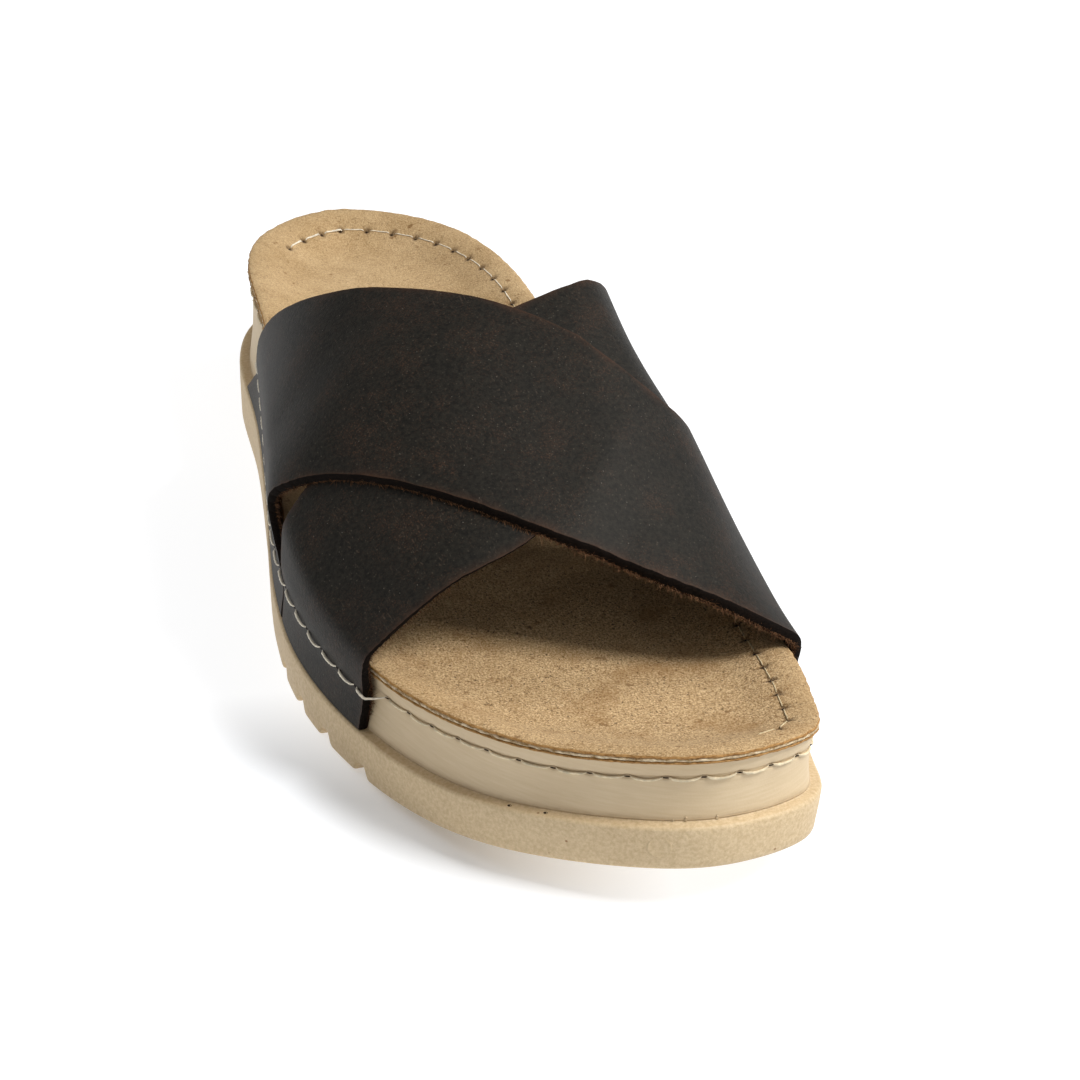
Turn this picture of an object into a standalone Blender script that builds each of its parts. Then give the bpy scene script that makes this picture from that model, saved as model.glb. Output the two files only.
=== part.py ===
"""Slide sandal with two crossed straps, right foot, standing on its sole.

The constants and tables below are the driving dimensions, in millimetres. A station is a
distance from the back of the heel towards the toe, which points at -Y. +X is the medial
side, and x = 0 is the middle line of the whole sandal.
"""
import math

import bpy
import numpy as np

MM = 0.001
LENGTH = 255.0  # the footbed, heel to toe

# The footbed's edge: station, lateral x, medial x
OUTLINE = [
    (0, 6, 6),  # back of the heel
    (10, -13, 25),
    (30, -23, 35),
    (65, -28, 38),  # widest part of the heel
    (100, -35, 32.5),  # waist
    (140, -43.5, 35),
    (170, -45, 45),  # ball
    (205, -38, 44),
    (230, -26, 40),
    (248, -6, 33),
    (LENGTH, 13, 13),  # tip of the toe
]
# Height of the footbed's rim above the floor: station, height
RIM = [
    (0, 37), (50, 39), (100, 34.5), (150, 30), (200, 27.5),
    (225, 30), (242, 32), (LENGTH, 35),
]
# How deep the footbed lies below its rim: station, depth
BED = [(0, 6), (50, 6), (110, 5), (LENGTH, 4.5)]
# Cross profile of the footbed: distance in from the edge, share of the depth
DISH = [(1.6, 0), (4, 0.1), (8, 0.4), (12.5, 0.75), (18, 0.95)]

INSOLE = 3.0  # thickness of the footbed layer
WALL_INSET = 0.6  # the wall stands this far inside the footbed's edge
FLANGE_OUT = 1.8  # the outsole stands this far outside the footbed's edge
FLANGE_HEEL = 14.0  # thickness of the outsole under the heel
FLANGE_TOE = 10.1  # and at the toe
FLANGE_ROUND = 1.2
TOE_SPRING = 9.7  # how high the toe is lifted off the floor
TOE_SPRING_FROM = 171.0
GAP = 0.3  # between pieces that lie on each other
BED_GAP = 0.55  # under the footbed, whose dish bows a little between its rings

GROOVES = [152.5, 166, 179.5, 195]  # stations of the tread grooves
GROOVE_WIDTH = 3.0
GROOVE_DEPTH = 2.5
GROOVE_LONG = 140.0  # the cutter runs clear of the sole on both sides
GROOVE_TALL = 12.0

STRAP = 2.2  # leather thickness
STRAP_SINK = 0.4  # how far the straps press into each other where they cross
STRAP_SLACK = 0.7  # how much further the upper strap stands off on the medial side

# The arch that both straps follow: station, height and x of its crown
CROWN = [(60, 69, 13), (100, 84, 21), (140, 77, 18), (180, 58, 8), (220, 36, 3)]
# How the arch leaves the rim: station, rise above the rim, lean in degrees from flat
LATERAL_SIDE = [(60, 4, 82), (100, 9, 77), (140, 11, 62), (180, 4, 50), (220, 1, 40)]
MEDIAL_SIDE = [(60, 16, 95), (100, 17, 103), (140, 8, 87), (180, 1, 60), (220, 1, 20)]

# Girth runs over the arch: 0 at the lateral foot of a strap, 0.15 at the lateral rim,
# 0.5 at the crown, 0.85 at the medial rim and 1 at the medial foot.
# Edges of the straps: girth, station
OVER_REAR = [
    (0, 45), (0.14, 75), (0.22, 88), (0.3, 111), (0.4, 134),
    (0.46, 145), (0.52, 155), (0.6, 163), (0.75, 159), (1, 157),
]
OVER_FRONT = [
    (0, 148), (0.14, 151), (0.18, 146), (0.22, 153),  # in to a corner where the strap bends
    (0.3, 170), (0.36, 182), (0.45, 194), (0.52, 199), (0.6, 204), (1, 212),
]
UNDER_REAR = [(0, 149), (0.2, 155), (0.3, 153), (0.45, 141), (0.6, 126), (0.75, 100), (1, 60)]
UNDER_FRONT = [(0, 195), (0.2, 199), (0.3, 198), (0.45, 191), (0.6, 164), (0.75, 157), (1, 157)]


# ---------------------------------------------------------------- reading the tables
def smooth(t):
    t = np.clip(t, 0, 1)
    return t * t * (3 - 2 * t)


def along(table, s, column=1):
    """One column of a table, read as a smooth curve through its rows."""
    xs = np.array([row[0] for row in table], float)
    ys = np.array([row[column] for row in table], float)
    width = np.diff(xs)
    step = np.diff(ys) / width
    inner = (step[:-1] * width[1:] + step[1:] * width[:-1]) / (width[1:] + width[:-1])
    slope = np.concatenate([step[:1], inner, step[-1:]])
    s = np.asarray(s, float)
    c = np.clip(s, xs[0], xs[-1])
    i = np.clip(np.searchsorted(xs, c, "right") - 1, 0, len(xs) - 2)
    t = (c - xs[i]) / width[i]
    value = (2 * t**3 - 3 * t**2 + 1) * ys[i]
    value += (t**3 - 2 * t**2 + t) * width[i] * slope[i]
    value += (3 * t**2 - 2 * t**3) * ys[i + 1]
    value += (t**3 - t**2) * width[i] * slope[i + 1]
    return value + (s - c) * np.where(s < xs[0], slope[0], slope[-1])


def outline(per):
    """(station, x) points round the footbed's edge, medial side first, and their outward normals."""
    heel, *sides, toe = OUTLINE
    medial = [(row[0], row[2]) for row in sides]
    lateral = [(row[0], row[1]) for row in sides]
    p = np.array([heel[:2], *medial, toe[:2], *lateral[::-1]], float)
    a, b, c, d = (np.roll(p, k, 0)[:, None] for k in (1, 0, -1, -2))
    u = np.linspace(0, 1, per, endpoint=False)[None, :, None]
    curve = 2 * b + (c - a) * u
    curve = curve + (2 * a - 5 * b + 4 * c - d) * u**2
    curve = curve + (3 * b - a - 3 * c + d) * u**3
    q = curve.reshape(-1, 2) / 2
    run = np.roll(q, -1, 0) - np.roll(q, 1, 0)
    run /= np.hypot(run[:, 0], run[:, 1])[:, None]
    return q, np.stack([-run[:, 1], run[:, 0]], 1)


def side_x(s, side, out):
    """x of the outline moved out, on the lateral (-1) or the medial (+1) side."""
    q, normal = outline(12)
    p = q + normal * out
    k = len(p) // 2
    half = p[: k + 1] if side > 0 else np.vstack([p[k:], p[:1]])
    half = half[np.argsort(half[:, 0])]
    return np.interp(s, half[:, 0], half[:, 1])


def toe_spring(s):
    t = (np.asarray(s) - TOE_SPRING_FROM) / (LENGTH - TOE_SPRING_FROM)
    return TOE_SPRING * np.clip(t, 0, 1.1) ** 2


def flange_top(s):
    return toe_spring(s) + FLANGE_HEEL - (FLANGE_HEEL - FLANGE_TOE) * smooth(s / LENGTH)


def rim(s):
    return along(RIM, s)


# ---------------------------------------------------------------- meshes
def material(name, colour, roughness):
    m = bpy.data.materials.new(name)
    m.use_nodes = True
    m.diffuse_color = (*colour, 1)
    shader = m.node_tree.nodes["Principled BSDF"]
    shader.inputs["Base Color"].default_value = (*colour, 1)
    shader.inputs["Roughness"].default_value = roughness
    shader.inputs["Metallic"].default_value = 0
    return m


def place(s, x, z):
    """World position of a point given by its station, x and height."""
    return (x * MM, (LENGTH / 2 - s) * MM, z * MM)


def mesh_object(name, points, faces, collection, look):
    mesh = bpy.data.meshes.new(name)
    mesh.from_pydata([place(*p) for p in points], [], faces)
    mesh.materials.append(look)
    obj = bpy.data.objects.new(name, mesh)
    collection.objects.link(obj)
    return obj


class Sole:
    """Rings round the outline. A ring moves out, or is inset towards the middle line."""

    def __init__(self, per=5):
        self.q, self.normal = outline(per)
        self.n = len(self.q)
        other = self.q[(-np.arange(self.n)) % self.n]
        middle = (self.q + other) / 2
        middle[:, 0] = np.clip(middle[:, 0], 30, 222)
        s = middle[:, 0]
        middle[:, 1] = (side_x(s, 1, 0) + side_x(s, -1, 0)) / 2
        self.to_middle = middle - self.q
        self.reach = np.hypot(self.to_middle[:, 0], self.to_middle[:, 1])

    def out(self, out):
        return self.q + self.normal * out

    def inset(self, inset):
        near = self.q - self.normal * inset
        share = np.clip(inset / self.reach, 0, 0.93)[:, None]
        far = self.q + self.to_middle * share
        blend = smooth((inset - 3) / 10)
        return near * (1 - blend) + far * blend

    def centre(self):
        return self.q + self.to_middle * 0.9

    def solid(self, name, rings, collection, look):
        """Closed solid from rings of (points, heights), bottom first, with its ends bridged across."""
        n = self.n
        points = [(s, x, h) for p, z in rings for (s, x), h in zip(p, z)]
        faces = []
        for r in range(len(rings) - 1):
            a, b = r * n, (r + 1) * n
            for i in range(n):
                k = (i + 1) % n
                faces.append((b + i, b + k, a + k, a + i))
        for base, upward in ((0, False), (len(points) - n, True)):
            for i in range(n // 2):
                corners = [base + i, base + i + 1, base + (n - i - 1) % n, base + (n - i) % n]
                face = list(dict.fromkeys(corners))
                faces.append(face[::-1] if upward else face)
        return mesh_object(name, points, faces, collection, look)


def footbed(sole, drop):
    """Rings of the footbed's dish, from its rim to the middle, lowered by drop."""
    rings = []
    for inset, share in DISH:
        p = sole.inset(inset)
        blend = smooth(inset / 40)
        top = rim(sole.q[:, 0]) * (1 - blend) + rim(p[:, 0]) * blend
        rings.append((p, top - share * along(BED, p[:, 0]) - drop))
    p = sole.centre()
    rings.append((p, rim(p[:, 0]) - along(BED, p[:, 0]) - drop))
    return rings


# ---------------------------------------------------------------- straps
def run_length(line):
    return np.concatenate([[0], np.cumsum(np.hypot(*np.diff(line, axis=0).T))])


def sample(line, at):
    run = run_length(line)
    return np.stack([np.interp(at, run, line[:, 0]), np.interp(at, run, line[:, 1])], 1)


def half_section(s, side, table, crown):
    """One side of the arch, from the strap's foot on the flange up to the crown."""
    foot = float(flange_top(s)) + GAP
    edge = float(rim(s))
    rise = float(along(table, s, 1))
    lean = math.radians(float(along(table, s, 2)))
    x_wall = float(side_x(s, side, STRAP + 0.5 - WALL_INSET))
    x_rim = float(side_x(s, side, STRAP + GAP + 0.5))
    start = np.array([x_rim, edge + 1 + rise])
    reach = math.dist(start, crown) * 0.42
    a = start + reach * np.array([-side * math.cos(lean), math.sin(lean)])
    b = crown + np.array([side * abs(crown[0] - x_rim) * 0.55, 0])
    t = np.linspace(0, 1, 40)[:, None]
    arch = (1 - t) ** 3 * start + 3 * (1 - t) ** 2 * t * a + 3 * (1 - t) * t**2 * b + t**3 * crown
    wall = np.linspace((x_wall, edge - 5), (x_rim, edge - 1.5), 8)
    return np.vstack([[(x_wall, foot)], wall, arch])


def section(s, count=121):
    """The arch across the foot at one station, as (x, z) points at even girths."""
    crown = np.array([along(CROWN, s, 2), along(CROWN, s, 1)])
    lateral = half_section(s, -1, LATERAL_SIDE, crown)
    medial = half_section(s, 1, MEDIAL_SIDE, crown)
    line = np.vstack([lateral, medial[-2::-1]])
    line = sample(line, np.linspace(0, run_length(line)[-1], 260))
    weight = np.exp(-0.5 * (np.arange(-9, 10) / 3.0) ** 2)
    weight /= weight.sum()
    padded = np.vstack([2 * line[0] - line[9:0:-1], line, 2 * line[-1] - line[-2:-11:-1]])
    line = np.stack([np.convolve(padded[:, k], weight, "valid") for k in (0, 1)], 1)
    run = run_length(line)
    top = int(np.argmin(np.hypot(*(line - crown).T)))
    left = int(np.argmin(np.abs(line[:top, 1] - rim(s))))
    right = top + int(np.argmin(np.abs(line[top:, 1] - rim(s))))
    marks = [0, run[left], run[top], run[right], run[-1]]
    return sample(line, np.interp(np.linspace(0, 1, count), [0, 0.15, 0.5, 0.85, 1], marks))


FORM_FROM = 40.0
FORM_STEP = 3.0
FORM = np.array([section(s) for s in np.arange(FORM_FROM, 226, FORM_STEP)])


def form(s, u):
    """Points (station, x, z) on the arch at stations s and girths u."""
    row = (s - FORM_FROM) / FORM_STEP
    i = np.clip(row.astype(int), 0, len(FORM) - 2)
    j = np.clip((u * 120).astype(int), 0, 119)
    a = (row - i)[..., None]
    b = (u * 120 - j)[..., None]
    near = (1 - b) * FORM[i, j] + b * FORM[i, j + 1]
    far = (1 - b) * FORM[i + 1, j] + b * FORM[i + 1, j + 1]
    return np.concatenate([s[..., None], (1 - a) * near + a * far], -1)


def form_normal(s, u):
    du = form(s, np.clip(u + 0.006, 0, 1)) - form(s, np.clip(u - 0.006, 0, 1))
    ds = form(s + 1.5, u) - form(s - 1.5, u)
    n = np.cross(ds, du)
    return n / np.linalg.norm(n, axis=-1, keepdims=True)


def over_lift(s, u):
    """How far the upper strap stands off the arch, to pass over the lower one."""
    inside = np.minimum(s - along(UNDER_REAR, u), along(UNDER_FRONT, u) - s)
    slack = STRAP_SLACK * smooth((u - 0.45) / 0.12)
    ends = smooth((u - 0.14) / 0.05) * smooth((0.8 - u) / 0.25)
    return (STRAP - STRAP_SINK + slack) * smooth((inside + 15) / 14) * ends


def girths():
    """Closer together where the strap bends over the lateral rim."""
    spans = [(0, 0.12, 4), (0.14, 0.26, 8), (0.285, 0.74, 19), (0.77, 0.88, 6), (0.94, 1, 2)]
    return np.concatenate([np.linspace(*span) for span in spans])


def strap(name, rear, front, lifted, collection, look, columns=11):
    """Open surface between two edges, thickened inward by the leather."""
    u = np.repeat(girths()[:, None], columns, 1)
    share = np.linspace(0, 1, columns)[None, :]
    s = along(rear, u) * (1 - share) + along(front, u) * share
    points = form(s, u)
    if lifted:
        points = points + form_normal(s, u) * over_lift(s, u)[..., None]
    faces = []
    for i in range(len(points) - 1):
        for a in range(i * columns, (i + 1) * columns - 1):
            faces.append((a, a + 1, a + columns + 1, a + columns))
    obj = mesh_object(name, points.reshape(-1, 3), faces, collection, look)
    leather = obj.modifiers.new("leather", "SOLIDIFY")
    leather.thickness = STRAP * MM
    leather.offset = -1
    leather.use_even_offset = True
    return obj


# ---------------------------------------------------------------- the sandal
def groove(name, at, collection):
    """Cutter for one tread groove, right across the outsole."""
    middle = float(toe_spring(at)) + GROOVE_DEPTH - GROOVE_TALL / 2
    bpy.ops.mesh.primitive_cube_add(size=MM, location=place(at, 0, middle))
    obj = bpy.context.object
    obj.name = name
    obj.scale = (GROOVE_LONG, GROOVE_WIDTH, GROOVE_TALL)
    for old in list(obj.users_collection):
        old.objects.unlink(obj)
    collection.objects.link(obj)
    return obj


def boolean(obj, other, operation):
    m = obj.modifiers.new(other.name, "BOOLEAN")
    m.operation = operation
    m.object = other
    other.hide_render = True
    other.display_type = "WIRE"


def build_outsole(sole, collection, helpers):
    """Flat under the heel and the ball, turned up at the toe, with tread grooves."""
    low = toe_spring(sole.q[:, 0])
    top = flange_top(sole.q[:, 0])
    centre = sole.centre()
    inner = sole.inset(6)
    rings = [
        (centre, toe_spring(centre[:, 0])),
        (inner, toe_spring(inner[:, 0])),
        (sole.out(0.4), low),
        (sole.out(1.2), low + 0.8),
        (sole.out(FLANGE_OUT), top - FLANGE_ROUND),
        (sole.out(FLANGE_OUT - 0.35), top - 0.35),
        (sole.out(FLANGE_OUT - FLANGE_ROUND), top),
        (inner, flange_top(inner[:, 0])),
        (centre, flange_top(centre[:, 0])),
    ]
    rubber = material("outsole_rubber", (0.52, 0.40, 0.25), 0.7)
    outsole = sole.solid("outsole", rings, collection, rubber)
    for i, at in enumerate(GROOVES):
        boolean(outsole, groove(f"groove_{i + 1}", at, helpers), "DIFFERENCE")


def build_midsole(sole, collection):
    """The wedge between the outsole and the footbed."""
    s = sole.q[:, 0]
    centre = sole.centre()
    inner = sole.inset(6)
    rings = [
        (centre, flange_top(centre[:, 0]) + GAP),
        (inner, flange_top(inner[:, 0]) + GAP),
        (sole.out(-WALL_INSET), flange_top(s) + GAP),
        (sole.out(-WALL_INSET), rim(s) - INSOLE - GAP),
    ]
    rings += footbed(sole, INSOLE + BED_GAP)[1:]
    sole.solid("midsole", rings, collection, material("midsole_foam", (0.56, 0.46, 0.32), 0.6))


def build_insole(sole, collection):
    """A dished layer with a raised rim."""
    top = rim(sole.q[:, 0])
    rings = footbed(sole, INSOLE)[::-1][:-1]
    rings += [(sole.out(0), top - INSOLE), (sole.out(0), top - 0.5), (sole.out(-0.5), top)]
    rings += footbed(sole, 0)
    sole.solid("insole", rings, collection, material("insole_suede", (0.50, 0.34, 0.18), 0.9))


def build_upper(collection, helpers):
    """Two straps in one piece, joined where they cross."""
    leather = material("strap_leather", (0.03, 0.026, 0.022), 0.5)
    upper = strap("upper", OVER_REAR, OVER_FRONT, True, collection, leather)
    under = strap("strap_under", UNDER_REAR, UNDER_FRONT, False, helpers, leather)
    boolean(upper, under, "UNION")


def build():
    for old in list(bpy.data.objects):
        bpy.data.objects.remove(old, do_unlink=True)
    sandal = bpy.data.collections.new("slide_sandal")
    helpers = bpy.data.collections.new("helpers")
    bpy.context.scene.collection.children.link(sandal)
    bpy.context.scene.collection.children.link(helpers)
    sole = Sole()
    build_outsole(sole, sandal, helpers)
    build_midsole(sole, sandal)
    build_insole(sole, sandal)
    build_upper(sandal, helpers)


build()
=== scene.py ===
# %% [markdown]
# # A slide sandal with two crossed straps
# This lesson builds the looks of a leather slide in Blender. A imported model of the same
# sandal gives the true size and place of every part. Each part is made again here from the
# same driving dimensions, but finer, so that rounded edges, layers, stitches and leather show.
# The right shoe stands on its sole with its toe towards -Y and the big toe towards +X.

# %% Load the frame
import math
import random

import bpy
import numpy as np
from mathutils import Matrix, Vector


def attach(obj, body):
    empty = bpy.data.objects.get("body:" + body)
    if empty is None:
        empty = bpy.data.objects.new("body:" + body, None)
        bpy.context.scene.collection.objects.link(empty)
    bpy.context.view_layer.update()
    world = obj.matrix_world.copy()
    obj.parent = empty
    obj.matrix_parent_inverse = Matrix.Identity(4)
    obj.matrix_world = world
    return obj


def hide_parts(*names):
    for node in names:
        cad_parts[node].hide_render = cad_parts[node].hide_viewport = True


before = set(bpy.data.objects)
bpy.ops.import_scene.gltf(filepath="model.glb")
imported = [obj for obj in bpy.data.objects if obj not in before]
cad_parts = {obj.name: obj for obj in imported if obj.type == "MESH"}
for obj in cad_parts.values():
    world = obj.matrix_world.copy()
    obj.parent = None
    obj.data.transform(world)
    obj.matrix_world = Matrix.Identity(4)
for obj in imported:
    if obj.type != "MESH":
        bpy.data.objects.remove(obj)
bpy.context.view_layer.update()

# %% [markdown]
# ## Camera
# The sandal is seen from in front of the toe, from above and a little to its outer side.
# A long lens keeps the heel from looking small. The camera leans a little to one side, and
# its lens is shifted.

# %% Camera
VIEW_AZIMUTH = -19.0
VIEW_ELEVATION = 29.9
VIEW_ROLL = 2.8
VIEW_DISTANCE = 0.799
VIEW_TARGET = (0.0044, -0.0012, 0.0)
LENS_MM = 120.0
SENSOR_MM = 36.0
SHIFT_X, SHIFT_Y = 0.058, 0.050


def add_object(name, data):
    obj = bpy.data.objects.new(name, data)
    bpy.context.scene.collection.objects.link(obj)
    return obj


data = bpy.data.cameras.new("camera")
data.lens, data.sensor_width = LENS_MM, SENSOR_MM
data.shift_x, data.shift_y = SHIFT_X, SHIFT_Y
camera = add_object("camera", data)
view = Matrix.Translation(VIEW_TARGET)
for angle, axis in ((VIEW_AZIMUTH, "Z"), (90 - VIEW_ELEVATION, "X"), (VIEW_ROLL, "Z")):
    view = view @ Matrix.Rotation(math.radians(angle), 4, axis)
camera.matrix_world = view @ Matrix.Translation((0, 0, VIEW_DISTANCE))
bpy.context.scene.camera = camera
print("camera at", [round(v, 3) for v in camera.matrix_world.translation])

# %% [markdown]
# ## Driving dimensions
# A pattern cutter works from a few stations along the last, measured from the back of the
# heel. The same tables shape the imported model, so what is made here lies exactly on it.
# All are in millimetres, but girth runs over the foot from 0 at the lateral flange to 1.

# %% Dimensions
MM = 0.001
LENGTH = 255.0
# Station, lateral x, medial x.
OUTLINE = [
    (0, 6, 6), (10, -13, 25), (30, -23, 35), (65, -28, 38), (100, -35, 32.5), (140, -43.5, 35),
    (170, -45, 45), (205, -38, 44), (230, -26, 40), (248, -6, 33), (LENGTH, 13, 13),
]
# Station, height of the footbed's rim.
RIM = [(0, 37), (50, 39), (100, 34.5), (150, 30), (200, 27.5), (225, 30), (242, 32), (LENGTH, 35)]
# Station, depth of the footbed's dish; then distance from the edge, share of that depth.
BED = [(0, 6), (50, 6), (110, 5), (LENGTH, 4.5)]
DISH = [(1.6, 0), (4, 0.1), (8, 0.4), (12.5, 0.75), (18, 0.95), (30, 1)]
INSOLE = 3.0
WALL_INSET = 0.6
FLANGE_OUT = 1.8
FLANGE_HEEL = 14.0
FLANGE_TOE = 10.1
TOE_SPRING = 9.7
TOE_SPRING_FROM = 171.0
GAP = 0.3
GROOVES = [152.5, 166, 179.5, 195]
GROOVE_WIDTH = 3.0
GROOVE_DEPTH = 2.5
STRAP = 2.2
STRAP_SLACK = 0.7
# How far a strap's skin stands outside the outline on the wall.
STRAP_STAND = STRAP + 0.5 - WALL_INSET
# Station, height and x of the crown; station, height over the rim and lean of either side.
CROWN = [(60, 69, 13), (100, 84, 21), (140, 77, 18), (180, 58, 8), (220, 36, 3)]
LATERAL_SIDE = [(60, 4, 82), (100, 9, 77), (140, 11, 62), (180, 4, 50), (220, 1, 40)]
MEDIAL_SIDE = [(60, 16, 95), (100, 17, 103), (140, 8, 87), (180, 1, 60), (220, 1, 20)]
# Girth, station of a strap's cut.
OVER_REAR = [
    (0, 45), (0.14, 75), (0.22, 88), (0.3, 111), (0.4, 134),
    (0.46, 145), (0.52, 155), (0.6, 163), (0.75, 159), (1, 157),
]
OVER_FRONT = [
    (0, 148), (0.14, 151), (0.18, 146), (0.22, 153), (0.3, 170),
    (0.36, 182), (0.45, 194), (0.52, 199), (0.6, 204), (1, 212),
]
UNDER_REAR = [(0, 149), (0.2, 155), (0.3, 153), (0.45, 141), (0.6, 126), (0.75, 100), (1, 60)]
UNDER_FRONT = [(0, 195), (0.2, 199), (0.3, 198), (0.45, 191), (0.6, 164), (0.75, 157), (1, 157)]
ball = max(row[2] - row[1] for row in OUTLINE)
print("footbed", LENGTH, "mm long,", ball, "mm wide at the ball")

# %% [markdown]
# ## Reading the tables
# Each table is read as a smooth curve. The outline is a closed curve through the stations
# of both sides, so the heel and the toe come out round.

# %% Curves


def unit(v):
    return v / np.linalg.norm(v, axis=-1, keepdims=True)


def smooth(t):
    t = np.clip(t, 0, 1)
    return t * t * (3 - 2 * t)


def along(table, s, column=1):
    """Reads a table's column as a smooth curve that goes on straight past its ends."""
    xs = np.array([row[0] for row in table], float)
    ys = np.array([row[column] for row in table], float)
    width = np.diff(xs)
    step = np.diff(ys) / width
    inner = (step[:-1] * width[1:] + step[1:] * width[:-1]) / (width[1:] + width[:-1])
    slope = np.concatenate([step[:1], inner, step[-1:]])
    s = np.asarray(s, float)
    c = np.clip(s, xs[0], xs[-1])
    i = np.clip(np.searchsorted(xs, c, "right") - 1, 0, len(xs) - 2)
    t = (c - xs[i]) / width[i]
    value = ys[i] + smooth(t) * (ys[i + 1] - ys[i])
    value += t * (1 - t) * width[i] * ((1 - t) * slope[i] - t * slope[i + 1])
    return value + (s - c) * np.where(s < xs[0], slope[0], slope[-1])


def cubic(rows, t):
    """Catmull-Rom between the middle two of four rows, so that no steps show."""
    a, b, c, d = rows
    return b + t * ((c - a) + t * ((2 * a - 5 * b + 4 * c - d) + t * (3 * b - a - 3 * c + d))) / 2


def outline(per):
    """(station, x) points round the footbed's edge, medial side first, and outward normals."""
    heel, *sides, toe = OUTLINE
    medial = [(row[0], row[2]) for row in sides]
    lateral = [(row[0], row[1]) for row in sides]
    p = np.array([heel[:2], *medial, toe[:2], *lateral[::-1]], float)
    u = np.linspace(0, 1, per, endpoint=False)[None, :, None]
    q = cubic([np.roll(p, k, 0)[:, None] for k in (1, 0, -1, -2)], u).reshape(-1, 2)
    run = unit(np.roll(q, -1, 0) - np.roll(q, 1, 0))
    return q, np.stack([-run[:, 1], run[:, 0]], 1)


def side_x(s, side, out):
    """x this far outside the outline: on the medial side if side is 1, the lateral if -1."""
    q, normal = outline(12)
    p = q + normal * out
    k = len(p) // 2
    half = p[: k + 1] if side > 0 else np.vstack([p[k:], p[:1]])
    half = half[np.argsort(half[:, 0])]
    return np.interp(s, half[:, 0], half[:, 1])


def toe_spring(s):
    t = (np.asarray(s) - TOE_SPRING_FROM) / (LENGTH - TOE_SPRING_FROM)
    return TOE_SPRING * np.clip(t, 0, 1.1) ** 2


def flange_top(s):
    return toe_spring(s) + FLANGE_HEEL - (FLANGE_HEEL - FLANGE_TOE) * smooth(s / LENGTH)


def rim(s):
    return along(RIM, s)


print("rim at heel, waist and toe:", [round(float(rim(s)), 1) for s in (0, 100, LENGTH)], "mm")

# %% [markdown]
# ## Noise for worn and cut edges
# Cut suede and cut leather are never quite straight. A sum of a few sine waves with fixed
# seeds gives the same wander every time the script runs.

# %% Wander


def wander(t, size, seed, octaves=4):
    """Smooth random values of about -1 to 1 along t, with features of the given size."""
    rng = random.Random(seed)
    t = np.asarray(t, float)
    total = np.zeros_like(t)
    for k in range(octaves):
        for _ in range(3):
            wave = 2 * math.pi / (size / 2**k) * rng.uniform(0.7, 1.3)
            total += np.sin(t * wave + rng.uniform(0, 7)) / 2**k
    return total / 4


print("wander over 10 mm:", np.round(wander(np.arange(0, 10, 2.5), 3, 1), 2))

# %% [markdown]
# ## Colours and materials
# Colours are the hex values a painter would read off the surface, turned into the linear
# values that shaders work in. A material is built as it would be painted: a ground colour,
# then coats, each with its share, and last the bumps. Fibres, nap and dust are drawn
# coarser than they are, or they would be too fine to show.

# %% Helpers for materials
LOOKS = {}


def linear(code):
    values = [int(code[i : i + 2], 16) / 255 for i in (0, 2, 4)]
    light = [v / 12.92 if v <= 0.04045 else ((v + 0.055) / 1.055) ** 2.4 for v in values]
    return (*light, 1.0)


class Nodes:
    """The nodes of one material or world. Values and colours are handed on as sockets."""

    def __init__(self, tree, place):
        self.tree = tree
        self.place = self.add("ShaderNodeTexCoord").outputs[place]

    def add(self, kind, settings=None, links=None):
        """Settings are attributes or input values, links are (input, output socket)."""
        made = self.tree.nodes.new(kind)
        for key, value in (settings or {}).items():
            if isinstance(key, str) and hasattr(made, key):
                setattr(made, key, value)
            else:
                made.inputs[key].default_value = value
        for key, socket in (links or {}).items():
            self.tree.links.new(socket, made.inputs[key])
        return made

    def stretch(self, scale, rotation=(0, 0, 0)):
        """Places in which a pattern is drawn out, by the inverse of the scale."""
        settings = {"Scale": scale, "Rotation": rotation}
        return self.add("ShaderNodeMapping", settings, {"Vector": self.place}).outputs[0]

    def noise(self, size_mm, detail=3.0, rough=0.55, place=None):
        """Noise whose features are about this many millimetres across."""
        settings = {"Scale": 1 / (size_mm * MM), "Detail": detail, "Roughness": rough}
        links = {"Vector": place or self.place}
        return self.add("ShaderNodeTexNoise", settings, links).outputs["Fac"]

    def spread(self, value, low, high, top=1.0, bottom=0.0):
        """Stretches a value so that low gives bottom and high gives top."""
        settings = {"From Min": low, "From Max": high, "To Min": bottom, "To Max": top}
        return self.add("ShaderNodeMapRange", settings, {"Value": value}).outputs[0]

    def specks(self, size_mm, share, sharp):
        """Sparse dots: 1 in a dot, 0 elsewhere."""
        settings = {"Scale": 1 / (size_mm * MM), "Randomness": 1.0}
        cells = self.add("ShaderNodeTexVoronoi", settings, {"Vector": self.place})
        return self.spread(cells.outputs["Distance"], share, share + sharp, 0.0, 1.0)

    def mark(self, name):
        """Values that are given to a mesh's points when it is made."""
        return self.add("ShaderNodeAttribute", {"attribute_name": name}).outputs["Fac"]

    def ramp(self, value, *stops):
        """Turns a value into colours. Stops are (place, hex colour)."""
        made = self.add("ShaderNodeValToRGB", {}, {"Fac": value})
        cells = made.color_ramp.elements
        while len(cells) < len(stops):
            cells.new(0.5)
        for cell, (at, code) in zip(cells, stops):
            cell.position = at
            cell.color = linear(code)
        return made.outputs["Color"]


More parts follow.
